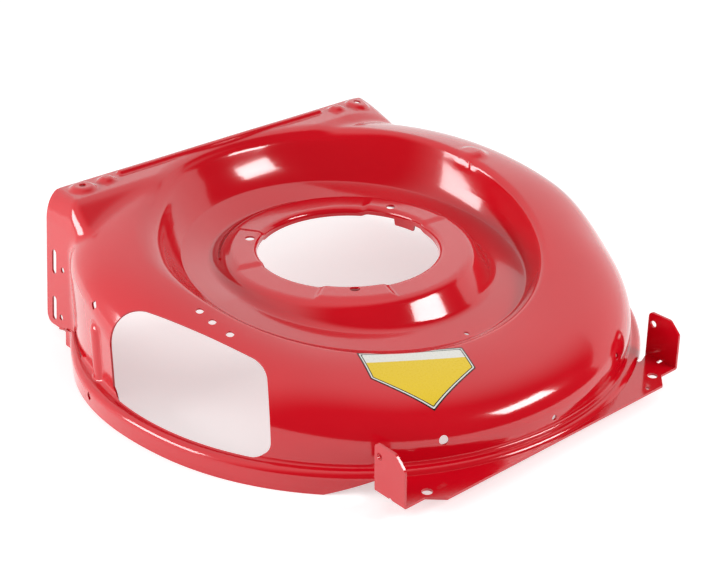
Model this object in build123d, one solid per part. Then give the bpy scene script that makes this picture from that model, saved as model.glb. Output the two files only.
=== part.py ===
from build123d import *
import math
import os

os.makedirs("parts", exist_ok=True)

# Millimetres. Crank axis is Z, engine ring top is z = 0, front of the mower is -Y, discharge side is -X.

# Sheet and overall form
SHEET = 2.0
GROUND_Z = -107.0
BASE_Z = -125.0
REAR_Y = 219.0
BODY_X = 8.0
BODY_Y = -7.0

# Engine ring and the valley round it
OPENING_R = 92.6
OPENING_LIP = 9.0
OPENING_SPARE = 4.0
RING_R = 127.0
RING_FOOT_R = 142.0
VALLEY_Z = -31.0
VALLEY_R = 186.0
CREST_R = 197.0
OPENING_ROUND = 6.0
RING_ROUND = 9.0
RING_FOOT_ROUND = 12.0
VALLEY_ROUND = 16.0
CREST_ROUND = 8.0
CREST_ROUND_HOOD = 20.0
CREST_ROUND_REAR = 10.0

# Tunnel dome, ledge and rim
FRONT_CREST_Z = -12.0
REAR_CREST_Z = 49.0
CREST_RATE = 1.25
DOME_SLOPE = 16.0
HOOD_SLOPE = 4.0
DOME_FOOT_Z = -70.0
HOOD_FOOT_Z = -8.0
DOME_FULL = 0.63
WALL_R = 280.0
WALL_R_HOOD = 292.0
RIM_R = 291.3
RIM_R_HOOD = 297.5
LEDGE_Z = -84.0
LEDGE_ROUND = 4.0
RIM_ROUND = 9.0
RIGHT_HOOD_TURN = (78.0, 112.0)
RIGHT_FLARE_TURN = (98.0, 128.0)
LEFT_HOOD_TURN = (125.0, 165.0)
SECTION_STEP = 15.0

# Rear shelf and side flanges
SHELF_Z = 51.0
SHELF_FRONT_Y = 176.0
SHELF_STEP_ANGLE = 38.0
SHELF_CREST_R = 206.0
SHELF_CORE_R = 200.0
LEFT_FALL_X = 200.0
LEFT_FALL_Y = 196.5
LEFT_FALL_HEADING = -41.0
LEFT_FALL_ANGLE = 31.0
FLANGE_X = 231.0
FLANGE_FOOT_Z = -92.0
FLANGE_DRAFT = 5.3
FLANGE_ROUND = 25.0
FLANGE_CORNER = 10.0
FLANGE_FRONT_Y = 181.0
HOOD_START_Y = 95.0
REAR_LIP = 13.0
REAR_LIP_HALF = 188.0

# Beads, bumps and bosses on the shelf
SHELF_HOLE_X = 185.5
SHELF_HOLE_Y = 199.0
SHELF_HOLE_R = 4.0
SHELF_BOSS_R = 10.0
SHELF_BOSS_RISE = 4.0
BUMP_X = 155.6
BUMP_Y = 201.0
BUMP_R = 5.0
BUMP_RISE = 4.5
BEAD_HALF = 133.7
BEAD_Y = 207.5
BEAD_R = 2.5
BEAD_RISE = 3.5
BEAD_ANGLE = 70.0
BEAD_SINK = 3.0
BOSS_ANGLE = 40.0
BOSS_SINK = 5.0

# Engine bolt pads and the tab in the crank opening
BOLT_CIRCLE_R = 101.6
BOLT_ANGLES = (131.9, 22.5, 233.0)
BOLT_HOLE_R = 5.15
PAD_RISE = 4.0
PAD_OUT_R = 118.0
PAD_SPANS = ((122.0, 164.0), (-6.0, 37.0), (216.0, 250.0))
PAD_SIDE_ANGLE = 45.0
PAD_SINK = 24.0
TAB_ANGLE = 9.0
TAB_HALF_ANGLE = 8.0
TAB_DEPTH = 16.0

# Discharge opening in the right wall
CHUTE_ANGLE = 188.7
CHUTE_FRONT = 109.0
CHUTE_FRONT_TOP = 91.0
CHUTE_REAR = -100.0
CHUTE_TOP_FRONT = -3.0
CHUTE_TOP_REAR = 10.0
CHUTE_FOOT = -82.0
CHUTE_NEAR_R = 215.0
CHUTE_EDGE_R = 248.0
CHUTE_ROUND_FRONT = 12.0
CHUTE_ROUND_TOP = 44.0
CHUTE_ROUND_FOOT = 24.0

# Chute hinge holes, polar about the body centre
HINGE_ANGLES = (-173.5, -168.0, -161.5)
HINGE_RADII = (222.0, 227.0, 230.5)
HINGE_HOLE_R = 4.0
HINGE_Z = 14.0

# Chute stop bead and its square holes, polar about the body centre
STOP_ANGLE = 164.8
STOP_R = 7.0
STOP_SINK = 2.0
STOP_TOP_Z = -32.0
STOP_LOW_Z = -84.0
SQUARE_SIDE = 7.0
SQUARE_ANGLES = (164.5, 167.0)
SQUARE_ZS = (-5.0, -95.0)

# Front wall holes, the valley drain hole and the round boss, polar
WALL_HOLE_ANGLES = (-115.2, -92.2, -63.5)
WALL_HOLE_ZS = (-64.0, -72.0, -67.0)
WALL_HOLE_RADII = (4.5, 3.0, 3.0)
DRAIN_R = 3.0
DRAIN_AT_R = 174.0
DRAIN_ANGLE = -90.0
ROUND_BOSS_R = 11.0
ROUND_BOSS_AT_R = 211.0
ROUND_BOSS_ANGLE = 9.5
ROUND_BOSS_Z = 34.5
ROUND_BOSS_RISE = 2.0

# Flange slots and holes
SLOT_Y = 203.0
SLOT_WIDE = 6.5
SLOT_SPANS = ((-34.5, -7.5), (-86.5, -59.5))
FLANGE_HOLE_R = 3.3
FLANGE_HOLES = ((187.0, -25.0), (190.0, -79.0))

# Front bracket
BRACKET_SHEET = 2.5
BRACKET_GAP = 0.1
BRACKET_FRONT_Y = -300.0
BRACKET_FRONT_HALF = 145.0
BRACKET_STEP_X = 14.0
BRACKET_REAR_Y = -200.0
BRACKET_INNER_R = 271.0
EAR_X = 183.6
EAR_FRONT_Y = -286.5
EAR_REAR_Y = -248.0
EAR_TOP_Z = -40.0
EAR_BEND = 2.4
EAR_CORNER = 5.0
EAR_SLOPE = 12.0
EAR_HOLE_R = 3.5
EAR_HOLE_Y = -254.5
EAR_HOLE_Z = -52.0
PLATE_HOLE_X = 151.9
PLATE_HOLE_Y = -281.5
PLATE_HOLE_R = 5.0
END_HOLE_X = 130.0
END_HOLE_Y = -293.5
END_HOLE_R = 2.5
SLIT = 2.0
SLIT_Y = -255.0
NOTCH_R = 3.0
NOTCH_Y = -268.0
RIM_TRIM_X = 165.0
RIM_TRIM_FOOT_X = 206.0
RIM_TRIM_Z = -88.0


def smooth(low, high, value):
    share = min(max((value - low) / (high - low), 0.0), 1.0)
    return share * share * (3 - 2 * share)


def polar(radius, angle, z=0.0):
    turn = math.radians(angle)
    return Vector(radius * math.cos(turn), radius * math.sin(turn), z)


def body_polar(radius, angle, z=0.0):
    return polar(radius, angle, z) + Vector(BODY_X, BODY_Y, 0)


def from_crank(radius, angle):
    # distance along a ray from the crank axis to a circle about the body centre
    ray = polar(1, angle)
    along = BODY_X * ray.X + BODY_Y * ray.Y
    return along + math.sqrt(radius**2 - BODY_X**2 - BODY_Y**2 + along**2)


def crest_height(turn):
    rise = 1 - math.cos(math.radians(min(CREST_RATE * turn, 180)))
    return FRONT_CREST_Z + (REAR_CREST_Z - FRONT_CREST_Z) / 2 * rise


def hood_share(turn, side):
    low, high = RIGHT_HOOD_TURN if side < 0 else LEFT_HOOD_TURN
    return smooth(low, high, turn)


def blend(plain, hood, share):
    return plain + (hood - plain) * share


def shifted(points, inset):
    # the open polyline moved by the inset to its right-hand side
    rows = []
    for start, end in zip(points, points[1:]):
        way = (end - start).normalized()
        rows.append((start + Vector(way.Z, 0, -way.X) * inset, way))
    moved = [rows[0][0]]
    for (base, way), (other, turned) in zip(rows, rows[1:]):
        gap = other - base
        cross = way.X * turned.Z - way.Z * turned.X
        moved.append(base + way * ((gap.X * turned.Z - gap.Z * turned.X) / cross))
    last = (points[-1] - points[-2]).length
    moved.append(rows[-1][0] + rows[-1][1] * last)
    return moved


def rounded(points, radii):
    # straight edges with a tangent arc in every inner corner; also gives the point where it stops
    edges = []
    start = points[0]
    for before, corner, after, radius in zip(points, points[1:], points[2:], radii):
        back = (before - corner).normalized()
        ahead = (after - corner).normalized()
        half = math.radians(back.get_angle(ahead)) / 2
        reach = radius / math.tan(half)
        middle = corner + (back + ahead).normalized() * radius * (1 / math.sin(half) - 1)
        edges.append(Line(start, corner + back * reach))
        edges.append(ThreePointArc(corner + back * reach, middle, corner + ahead * reach))
        start = corner + ahead * reach
    return edges, start


def section(turn, side, inset):
    # one half section of the form in a plane through the crank axis, turn degrees from the front
    angle = -90 + side * turn
    hood = hood_share(turn, side)
    crest_z = crest_height(turn)
    flare = smooth(*RIGHT_FLARE_TURN, turn) if side < 0 else hood
    wall = from_crank(blend(WALL_R, WALL_R_HOOD, flare), angle)
    rim = from_crank(blend(RIM_R, RIM_R_HOOD, flare), angle)
    slope = math.tan(math.radians(blend(DOME_SLOPE, HOOD_SLOPE, hood)))
    foot_z = blend(DOME_FOOT_Z, HOOD_FOOT_Z, hood)
    crest_round = blend(CREST_ROUND, CREST_ROUND_HOOD, hood)
    crest_round = blend(crest_round, CREST_ROUND_REAR, smooth(120, 165, turn))
    share = (rim - wall) / (RIM_R - WALL_R)
    inner = [
        Vector(OPENING_R - OPENING_SPARE, 0, BASE_Z),
        Vector(OPENING_R - OPENING_SPARE, 0, 0),
        Vector(RING_R, 0, 0),
        Vector(RING_FOOT_R, 0, VALLEY_Z),
        Vector(VALLEY_R, 0, VALLEY_Z),
        Vector(CREST_R, 0, crest_z),
        Vector(CREST_R + 50, 0, crest_z - 50 * slope),
    ]
    radii = (
        OPENING_ROUND - inset,
        RING_ROUND - inset,
        RING_FOOT_ROUND + inset,
        VALLEY_ROUND + inset,
        crest_round - inset,
    )
    edges, top = rounded(shifted(inner, inset), radii)
    outer = [
        Vector(wall, 0, foot_z),
        Vector(wall, 0, LEDGE_Z),
        Vector(rim, 0, LEDGE_Z),
        Vector(rim, 0, BASE_Z),
    ]
    outer = shifted(outer, inset)
    peak = Vector(outer[0].X, 0, top.Z - (outer[0].X - top.X) * slope)
    peak.Z = max(peak.Z, foot_z + 5)
    foot = outer[0]
    edges.append(Bezier(top, top + (peak - top) * DOME_FULL, foot + (peak - foot) * DOME_FULL, foot))
    skirt, low = rounded(outer, (LEDGE_ROUND * share + inset, RIM_ROUND * share - inset * share))
    edges += skirt
    foot_in = Vector(OPENING_R - OPENING_SPARE + inset, 0, BASE_Z - inset)
    foot_out = Vector(outer[3].X, 0, BASE_Z - inset)
    edges.append(Line(low, foot_out))
    edges.append(Line(foot_out, foot_in))
    edges[0] = Line(foot_in, edges[0] @ 1)
    return Wire(edges).rotate(Axis.Z, angle)


def body_form(inset):
    count = round(180 / SECTION_STEP)
    halves = []
    for side in (-1, 1):
        wires = [section(step * SECTION_STEP, side, inset) for step in range(count + 1)]
        halves.append(Solid.make_loft(wires))
    return Part() + halves[0] + halves[1]


def hood_form(inset):
    # the rear shelf with its two side flanges, bent from one run of sheet
    lean = math.tan(math.radians(FLANGE_DRAFT))
    top_x = FLANGE_X - (SHELF_Z - FLANGE_FOOT_Z) * lean
    low_x = FLANGE_X + (FLANGE_FOOT_Z - BASE_Z) * lean
    outline = Polyline((-low_x, BASE_Z), (-top_x, SHELF_Z), (top_x, SHELF_Z), (low_x, BASE_Z), close=True)
    face = make_face(outline)
    corners = face.vertices().sort_by(Axis.Y)[2:]
    face = fillet(corners, FLANGE_ROUND)
    if inset:
        face = offset(face, amount=-inset)
    rear = REAR_Y - inset
    block = extrude(Plane.XZ.offset(-HOOD_START_Y) * face, rear - HOOD_START_Y, dir=(0, 1, 0))
    # the step down to the dome, straight across and round the crest
    steep = math.tan(math.radians(SHELF_STEP_ANGLE))
    back = inset / math.sin(math.radians(SHELF_STEP_ANGLE))
    low_y = SHELF_FRONT_Y + back - (SHELF_Z - BASE_Z) / steep
    wedge = Polyline(
        (SHELF_FRONT_Y + back, SHELF_Z),
        (SHELF_FRONT_Y + back + 20 / steep, SHELF_Z + 20),
        (low_y - 60, SHELF_Z + 20),
        (low_y - 60, BASE_Z),
        (low_y, BASE_Z),
        close=True,
    )
    block -= extrude(Plane.YZ * make_face(wedge), 300, both=True)
    crest_r = SHELF_CREST_R + back
    core_r = SHELF_CORE_R + inset
    core = Polyline(
        (0, BASE_Z - 20),
        (core_r, BASE_Z - 20),
        (core_r, SHELF_Z - (crest_r - core_r) * steep),
        (crest_r + 20 / steep, SHELF_Z + 20),
        (0, SHELF_Z + 20),
        close=True,
    )
    block -= revolve(Plane.XZ * make_face(core), Axis.Z)
    # the left end falls away to the lower dome
    fall = Plane((LEFT_FALL_X, LEFT_FALL_Y, SHELF_Z), x_dir=polar(1, LEFT_FALL_HEADING + 90), z_dir=(0, 0, 1))
    block -= fall * Rot(LEFT_FALL_ANGLE, 0, 0) * Pos(0, 0, 60 - inset) * Box(400, 400, 120)
    return block


def boss_form(x, y, top_z, top_r, rise, inset):
    # a pressed cone with a flat top, kept at sheet distance inside by the inset
    rate = 1 / math.tan(math.radians(BOSS_ANGLE))
    depth = rise + BOSS_SINK
    in_r = top_r + inset * rate - inset / math.sin(math.radians(BOSS_ANGLE))
    cone = Cone(in_r + depth * rate, in_r, depth, align=(Align.CENTER, Align.CENTER, Align.MAX))
    return Pos(x, y, top_z - inset) * cone


def bead_form(inset):
    rate = 1 / math.tan(math.radians(BEAD_ANGLE))
    top_r = BEAD_R + inset * rate - inset / math.sin(math.radians(BEAD_ANGLE))
    depth = BEAD_RISE + BEAD_SINK
    outline = SlotCenterToCenter(2 * BEAD_HALF, 2 * (top_r + depth * rate))
    ridge = extrude(outline, depth, taper=90 - BEAD_ANGLE)
    return Pos(0, BEAD_Y, SHELF_Z + BEAD_RISE - inset - depth) * ridge


def opening_bore(edge_z, inset):
    # the crank opening, flared to a round edge at the given height
    radius = OPENING_R + inset
    middle_r = OPENING_R + OPENING_ROUND
    middle_z = edge_z - OPENING_ROUND
    top_z = edge_z + PAD_SINK
    reach = (OPENING_ROUND - inset) * math.sqrt(0.5)
    outline = [
        Line((0, BASE_Z - PAD_SINK), (radius, BASE_Z - PAD_SINK)),
        Line((radius, BASE_Z - PAD_SINK), (radius, middle_z)),
        ThreePointArc((radius, middle_z), (middle_r - reach, middle_z + reach), (middle_r, edge_z - inset)),
        Line((middle_r, edge_z - inset), (middle_r, top_z)),
        Line((middle_r, top_z), (0, top_z)),
        Line((0, top_z), (0, BASE_Z - PAD_SINK)),
    ]
    return revolve(Plane.XZ * make_face(outline), Axis.Z)


def bolt_pad_form(span, inset):
    # a raised sector of the ring under an engine foot
    rate = 1 / math.tan(math.radians(PAD_SIDE_ANGLE))
    grow = PAD_RISE * rate + inset * rate - inset / math.sin(math.radians(PAD_SIDE_ANGLE))
    out_r = PAD_OUT_R + grow
    half = math.radians(span[1] - span[0]) / 2 + grow / BOLT_CIRCLE_R
    wide = out_r * math.tan(half)
    plan = Polyline((0, 0), (out_r, -wide), (out_r, wide), close=True)
    sector = make_face(plan) & Circle(out_r)
    sector = sector - Circle(OPENING_R / 2)
    pad = extrude(sector, PAD_RISE, dir=(0, 0, 1), taper=90 - PAD_SIDE_ANGLE)
    pad += extrude(sector, PAD_SINK, dir=(0, 0, -1))
    pad = Rot(0, 0, (span[0] + span[1]) / 2) * Pos(0, 0, -inset) * pad
    return pad - opening_bore(PAD_RISE, inset)


def stop_bead_form(inset):
    at = body_polar(WALL_R - STOP_SINK, STOP_ANGLE)
    radius = STOP_R - inset
    rod = Cylinder(radius, STOP_TOP_Z - STOP_LOW_Z)
    ends = Pos(0, 0, (STOP_TOP_Z - STOP_LOW_Z) / 2) * Sphere(radius)
    return Pos(at.X, at.Y, (STOP_TOP_Z + STOP_LOW_Z) / 2) * (rod + ends)


def form(inset):
    solid = body_form(inset) - opening_bore(0.0, inset) + hood_form(inset)
    for x in (-SHELF_HOLE_X, SHELF_HOLE_X):
        solid += boss_form(x, SHELF_HOLE_Y, SHELF_Z + SHELF_BOSS_RISE, SHELF_BOSS_R, SHELF_BOSS_RISE, inset)
    for x in (-BUMP_X, BUMP_X):
        solid += boss_form(x, BUMP_Y, SHELF_Z + BUMP_RISE, BUMP_R, BUMP_RISE, inset)
    solid += bead_form(inset)
    spot = polar(ROUND_BOSS_AT_R, ROUND_BOSS_ANGLE)
    solid += boss_form(spot.X, spot.Y, ROUND_BOSS_Z, ROUND_BOSS_R, ROUND_BOSS_RISE, inset)
    for span in PAD_SPANS:
        solid += bolt_pad_form(span, inset)
    solid += stop_bead_form(inset)
    return solid


def rear_trim():
    # the rear is left open: only a lip turned down along the shelf stays
    slab = Pos(0, REAR_Y - SHEET / 2 + 50, 0) * Box(600, SHEET + 100, 400)
    keep = Pos(0, REAR_Y, SHELF_Z) * Box(2 * REAR_LIP_HALF, 4 * SHEET, 2 * REAR_LIP)
    return slab - keep


def flange_cuts():
    cuts = Pos(0, FLANGE_FRONT_Y + 60, FLANGE_FOOT_Z - 50) * Box(600, 120, 100)
    corner = Pos(0, REAR_Y - SHEET - FLANGE_CORNER / 2, FLANGE_FOOT_Z + FLANGE_CORNER / 2)
    block = corner * Box(600, FLANGE_CORNER, FLANGE_CORNER)
    rod = Pos(0, REAR_Y - SHEET - FLANGE_CORNER, FLANGE_FOOT_Z + FLANGE_CORNER) * Rot(0, 90, 0)
    cuts += block - rod * Cylinder(FLANGE_CORNER, 620)
    for side in (-1, 1):
        at = Pos(side * FLANGE_X, 0, 0)
        for low, high in SLOT_SPANS:
            slot = Plane.YZ * Pos(SLOT_Y, (low + high) / 2) * Rot(0, 0, 90) * SlotOverall(high - low, SLOT_WIDE)
            cuts += at * extrude(slot, 20, both=True)
        for y, z in FLANGE_HOLES:
            cuts += at * Pos(0, y, z) * Rot(0, 90, 0) * Cylinder(FLANGE_HOLE_R, 40)
    return cuts


def chute_cut():
    # outline drawn as seen square on from outside, swept through the wall
    outline = Polyline(
        (CHUTE_FRONT, CHUTE_FOOT),
        (CHUTE_FRONT_TOP, CHUTE_TOP_FRONT),
        (CHUTE_REAR, CHUTE_TOP_REAR),
        (CHUTE_REAR, CHUTE_FOOT),
        close=True,
    )
    face = make_face(outline)
    front = face.vertices().sort_by(Axis.X)[2:]
    face = fillet(front, CHUTE_ROUND_FRONT)
    rear = face.vertices().sort_by(Axis.X)[:2].sort_by(Axis.Y)
    face = fillet(rear[1], CHUTE_ROUND_TOP)
    low = face.vertices().sort_by(Axis.X)[0:2].sort_by(Axis.Y)[0]
    face = fillet(low, CHUTE_ROUND_FOOT)
    way = polar(1, CHUTE_ANGLE)
    start = body_polar(0, 0)
    across = Vector(0, 0, 1).cross(way)
    plane = Plane(start, x_dir=across, z_dir=way)
    prism = extrude(plane.offset(CHUTE_NEAR_R) * face, 200, dir=way)
    return prism - Pos(BODY_X, BODY_Y, 0) * Cylinder(CHUTE_EDGE_R, 400)


def radial_hole(radius, angle, z, reach=40.0):
    way = polar(1, angle)
    middle = body_polar(WALL_R, angle, z)
    return Plane(middle, z_dir=way) * Cylinder(radius, 2 * reach)


def square_hole(angle, z):
    way = polar(1, angle)
    middle = body_polar(WALL_R_HOOD, angle, z)
    plane = Plane(middle, x_dir=Vector(0, 0, 1), z_dir=way)
    return plane * Rot(0, 0, 45) * Box(SQUARE_SIDE, SQUARE_SIDE, 60)


def hole_cuts():
    cuts = Part()
    for angle in BOLT_ANGLES:
        at = polar(BOLT_CIRCLE_R, angle)
        cuts += Pos(at.X, at.Y, 0) * Cylinder(BOLT_HOLE_R, 30)
    for x in (-SHELF_HOLE_X, SHELF_HOLE_X):
        cuts += Pos(x, SHELF_HOLE_Y, SHELF_Z) * Cylinder(SHELF_HOLE_R, 40)
    for radius, angle in zip(HINGE_RADII, HINGE_ANGLES):
        at = body_polar(radius, angle)
        cuts += Pos(at.X, at.Y, HINGE_Z) * Cylinder(HINGE_HOLE_R, 40)
    for radius, angle, z in zip(WALL_HOLE_RADII, WALL_HOLE_ANGLES, WALL_HOLE_ZS):
        cuts += radial_hole(radius, angle, z)
    for angle, z in zip(SQUARE_ANGLES, SQUARE_ZS):
        cuts += square_hole(angle, z)
    at = polar(DRAIN_AT_R, DRAIN_ANGLE)
    cuts += Pos(at.X, at.Y, VALLEY_Z) * Cylinder(DRAIN_R, 20)
    return cuts


def deck_shell():
    shell = form(0.0) - form(SHEET)
    shell -= Pos(0, 0, GROUND_Z - 50) * Box(900, 900, 100)
    # the edge of the crank opening is turned down, with one longer tab
    core = Cylinder(OPENING_R + 12, 200, align=(Align.CENTER, Align.CENTER, Align.MAX))
    wide = 2 * OPENING_R * math.sin(math.radians(TAB_HALF_ANGLE))
    tab = Rot(0, 0, TAB_ANGLE) * Pos(OPENING_R, 0, 0) * Box(30, wide, 2 * TAB_DEPTH)
    shell -= Pos(0, 0, -OPENING_LIP) * core - tab
    shell -= Pos(0, REAR_Y + 100, 0) * Box(900, 200, 400)
    shell -= rear_trim()
    shell -= flange_cuts()
    shell -= chute_cut()
    shell -= hole_cuts()
    # the rim's lip tapers off over the front bracket
    rate = (RIM_TRIM_FOOT_X - RIM_TRIM_X) / (RIM_TRIM_Z - GROUND_Z)
    low_x = RIM_TRIM_FOOT_X + 10 * rate
    low_z = GROUND_Z - 10
    trim = Polyline((-RIM_TRIM_X, RIM_TRIM_Z), (RIM_TRIM_X, RIM_TRIM_Z), (low_x, low_z), (-low_x, low_z), close=True)
    shell -= extrude(Plane.XZ * make_face(trim), 400, dir=(0, -1, 0))
    return shell


def front_bracket():
    top_z = RIM_TRIM_Z - BRACKET_GAP
    plan = Polyline(
        (-EAR_X, EAR_REAR_Y),
        (-EAR_X, EAR_FRONT_Y),
        (-BRACKET_FRONT_HALF - BRACKET_STEP_X, EAR_FRONT_Y),
        (-BRACKET_FRONT_HALF, BRACKET_FRONT_Y),
        (BRACKET_FRONT_HALF, BRACKET_FRONT_Y),
        (BRACKET_FRONT_HALF + BRACKET_STEP_X, EAR_FRONT_Y),
        (EAR_X, EAR_FRONT_Y),
        (EAR_X, EAR_REAR_Y),
        (RIM_TRIM_X + SLIT, SLIT_Y),
        (RIM_TRIM_X - SLIT, SLIT_Y),
        (RIM_TRIM_X - SLIT, BRACKET_REAR_Y),
        (-RIM_TRIM_X + SLIT, BRACKET_REAR_Y),
        (-RIM_TRIM_X + SLIT, SLIT_Y),
        (-RIM_TRIM_X - SLIT, SLIT_Y),
        close=True,
    )
    face = make_face(plan) - Pos(BODY_X, BODY_Y) * Circle(BRACKET_INNER_R)
    plate = Pos(0, 0, top_z - BRACKET_SHEET) * extrude(face, BRACKET_SHEET, dir=(0, 0, 1))
    for side in (-1, 1):
        outline = Polyline(
            (EAR_FRONT_Y, top_z - BRACKET_SHEET),
            (EAR_FRONT_Y, EAR_TOP_Z - EAR_SLOPE),
            (EAR_FRONT_Y + EAR_SLOPE, EAR_TOP_Z),
            (EAR_REAR_Y, EAR_TOP_Z),
            (EAR_REAR_Y, top_z - BRACKET_SHEET),
            close=True,
        )
        ear_face = make_face(outline)
        upper = ear_face.vertices().sort_by(Axis.Y)[2:]
        ear_face = fillet(upper, EAR_CORNER)
        ear = extrude(Plane.YZ * ear_face, BRACKET_SHEET, dir=(1, 0, 0))
        shift = EAR_X - BRACKET_SHEET if side > 0 else -EAR_X
        plate += Pos(shift, 0, 0) * ear
    foot = plate.edges().filter_by(Axis.Y).group_by(Axis.Z)[0]
    fold = [edge for edge in foot if abs(abs(edge.center().X) - EAR_X) < BRACKET_GAP]
    plate = fillet(fold, EAR_BEND)
    holes = Part()
    for side in (-1, 1):
        holes += Pos(side * EAR_X, EAR_HOLE_Y, EAR_HOLE_Z) * Rot(0, 90, 0) * Cylinder(EAR_HOLE_R, 20)
        holes += Pos(side * PLATE_HOLE_X, PLATE_HOLE_Y, top_z) * Cylinder(PLATE_HOLE_R, 20)
        holes += Pos(side * EAR_X, NOTCH_Y, top_z - BRACKET_SHEET) * Rot(0, 90, 0) * Cylinder(NOTCH_R, 16)
    holes += Pos(END_HOLE_X, END_HOLE_Y, top_z) * Cylinder(END_HOLE_R, 20)
    return plate - holes


export_step(deck_shell(), "parts/deck_shell.step")
export_step(front_bracket(), "parts/front_bracket.step")
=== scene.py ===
import math

import bpy
import numpy as np
from mathutils import Matrix


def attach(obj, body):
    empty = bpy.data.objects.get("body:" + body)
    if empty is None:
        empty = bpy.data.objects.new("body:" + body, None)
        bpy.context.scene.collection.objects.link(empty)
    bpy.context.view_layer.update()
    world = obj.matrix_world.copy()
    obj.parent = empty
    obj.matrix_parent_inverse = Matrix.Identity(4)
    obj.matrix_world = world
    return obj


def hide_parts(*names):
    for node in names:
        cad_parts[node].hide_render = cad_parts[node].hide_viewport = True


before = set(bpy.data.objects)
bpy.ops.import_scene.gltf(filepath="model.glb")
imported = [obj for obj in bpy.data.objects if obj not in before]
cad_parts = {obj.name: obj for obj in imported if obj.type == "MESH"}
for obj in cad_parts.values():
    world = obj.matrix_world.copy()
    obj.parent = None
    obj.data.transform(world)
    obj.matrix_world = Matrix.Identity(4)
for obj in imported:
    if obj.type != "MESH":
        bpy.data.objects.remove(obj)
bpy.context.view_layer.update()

# Sizes are in millimetres, as in the solid model; the crank axis is Z, the engine ring's top z = 0
MM = 0.001
SHEET = 2.0
GROUND_Z = -107.0
REAR_Y = 219.0
BODY = complex(8.0, -7.0)
FRONT_ANGLE = -90.0

# Engine ring and valley
OPENING_R = 92.6
OPENING_LIP = 9.0
RING_R = 127.0
RING_SIDE_RUN = 0.75
VALLEY_R = 175.5
VALLEY_CENTRE = complex(3.6, -5.5)
VALLEY_TILT = complex(-0.036, 0.096)
VALLEY_MID_Z = -13.0
VALLEY_DISH = 7.0
VALLEY_LOW_OUT = 10.0
CREST_R = 197.0
OPENING_ROUND = 6.0
RING_ROUND = 12.0
RING_FOOT_ROUND = 12.0
VALLEY_ROUND = 4.0
VALLEY_KNEE = complex(0.30, -0.08)
CREST_ROUND = 8.0
CREST_ROUND_HOOD = 34.0
CREST_ROUND_REAR = 16.0
CREST_REAR_TURN = (120.0, 165.0)

# Tunnel dome, ledge and rim
FRONT_CREST_Z = -22.0
REAR_CREST_Z = 49.0
CREST_RATE = 1.33
RIGHT_CREST_TURN = (5.0, 165.0)
DOME_SLOPE = 6.0
HOOD_SLOPE = 4.0
DOME_FOOT_Z = -70.0
HOOD_FOOT_Z = -8.0
DOME_FULL = 0.63
DOME_LEAST_RISE = 5.0
LEFT_FULL_TURN = (58.0, 82.0)
LEFT_FULL = 0.86
LEFT_SLOPE = 7.0
RIGHT_FLAT_TURN = (30.0, 55.0)
RIGHT_SLOPE = 0.0
WALL_R = 280.0
WALL_R_HOOD = 292.0
RIM_R = 291.3
RIM_R_HOOD = 297.5
SEAM_Z = -77.5
LEDGE_Z = -84.0
LEDGE_ROUND = 4.0
RIM_ROUND = 9.0
RIM_ROUND_SHARE = 0.8
RIGHT_HOOD_TURN = (78.0, 112.0)
RIGHT_FLARE_TURN = (98.0, 128.0)
RIM_FLARE_TURN = (78.0, 112.0)
LEFT_HOOD_TURN = (125.0, 165.0)

# Rear shelf and side flanges
SHELF_Z = 51.0
SHELF_FRONT_Y = 176.0
SHELF_STEP_ANGLE = 38.0
SHELF_CREST_R = 206.0
SHELF_CORE_R = 200.0
FALL_POINT = (200.0, 196.5)
FALL_HEADING = -41.0
FALL_ANGLE = 37.0
FALL_BLEND = 20.0
FLANGE_X = 231.0
FLANGE_FOOT_Z = -92.0
FLANGE_DRAFT = 5.3
FLANGE_BLEND = 40.0
FLANGE_CORNER = 10.0
FLANGE_FRONT_Y = 181.0
HOOD_START_Y = 95.0
EDGE_BLEND = 5.0
HOOD_BLEND = 6.0
CORE = complex(235.0, -60.0)
REAR_LIP = 13.0
REAR_LIP_HALF = 188.0
REAR_FOLD = 3.0

# Pressed features of the shelf, the dome and the ring
SHELF_HOLE = (185.5, 199.0)
SHELF_HOLE_R = 4.0
SHELF_BOSS_R = 10.0
SHELF_BOSS_RISE = 4.0
BUMP = (155.6, 201.0)
BUMP_R = 5.0
BUMP_RISE = 4.5
BEAD_HALF = 133.7
BEAD_Y = 207.5
BEAD_R = 2.5
BEAD_RISE = 3.5
BEAD_ANGLE = 60.0
BOSS_ANGLE = 40.0
PRESS_BLEND = 1.6
ROUND_BOSS_R = 11.0
ROUND_BOSS_AT = (211.0, 9.5)
ROUND_BOSS_Z = 38.5
ROUND_BOSS_EDGE = 3.0
ROUND_BOSS_FOOT = 2.0
PAD_RISE = 2.4
PAD_EDGE = (-7.0, 1.5)
PAD_OUT_R = 118.0
PAD_SPANS = ((122.0, 164.0), (-6.0, 37.0), (216.0, 250.0))
TAB_ANGLE = 9.0
TAB_HALF_ANGLE = 8.0
TAB_EDGE_ANGLE = 0.4
TAB_DEPTH = 16.0
STOP_ANGLE = 164.8
STOP_R = 10.0
STOP_AT_R = 276.0
STOP_BLEND = 6.0
STOP_TOP_Z = -32.0
STOP_FOOT_Z = -85.0

# Holes and openings
BOLT_CIRCLE_R = 101.6
BOLT_ANGLES = (131.9, 22.5, 233.0)
BOLT_HOLE_R = 5.15
CHUTE_ANGLE = 188.7
CHUTE_FOOT_Z = -83.2
CHUTE_REAR = -88.5
CHUTE_FRONT_OFF = -157.0
CHUTE_FRONT_LEAN = 1.06
CHUTE_TOP_OUT = 239.0
CHUTE_TOP_LEAN = 0.16
CHUTE_ROUNDS = (18.0, 12.0, 40.0, 24.0)
HINGE_HOLES = ((218.3, -173.4), (221.2, -168.5), (224.1, -162.6))
HINGE_HOLE_R = 4.0
HINGE_LEAST_Z = -30.0
SQUARE_HOLES = ((164.5, -5.0), (167.0, -95.0))
SQUARE_SIDE = 7.0
WALL_HOLES = ((-115.3, -63.0, 4.5), (-90.9, -73.5, 3.0), (-66.9, -60.5, 3.0))
DRAIN_AT = (174.5, -90.3)
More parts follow.
